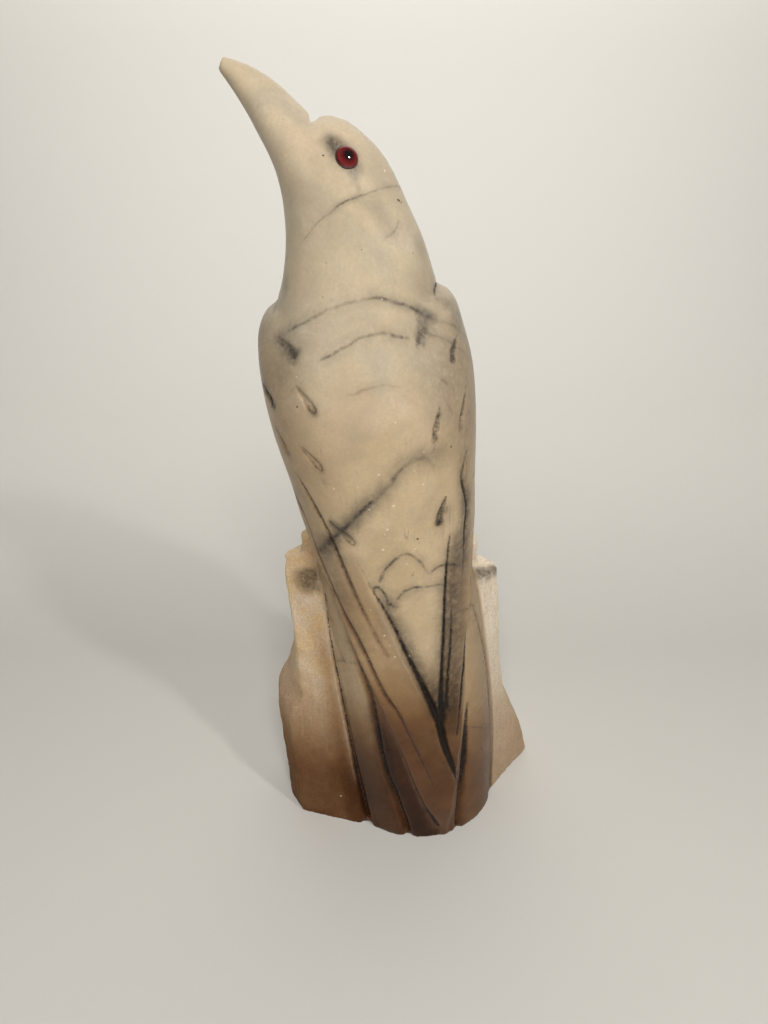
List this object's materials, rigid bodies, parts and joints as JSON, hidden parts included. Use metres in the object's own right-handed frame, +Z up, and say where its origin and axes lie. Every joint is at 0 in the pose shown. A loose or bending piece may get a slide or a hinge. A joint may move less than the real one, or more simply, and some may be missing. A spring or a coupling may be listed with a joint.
{
  "type": "carved stone bird",
  "caption": "Long-beaked bird with folded, crossed wings, perched upright on a rough stump, carved in polished veined alabaster with inset red glass bead eyes; stands by its own weight.",
  "frame": {"origin": "middle of the stump's flat underside, on the ground", "axes": "+Z up; -Y is the way the bird's back faces; -X is the bird's left, where its beak points; +Y is its breast"},
  "size_m": [0.0953, 0.0685, 0.24],
  "materials": {
    "alabaster": "polished on the bird, hewn and matt on the stump",
    "eye_glass": "polished"
  },
  "bodies": {
    "root": {"carved_bird_on_stump": "alabaster", "left_glass_eye": "eye_glass", "right_glass_eye": "eye_glass"}
  },
  "joints": []
}
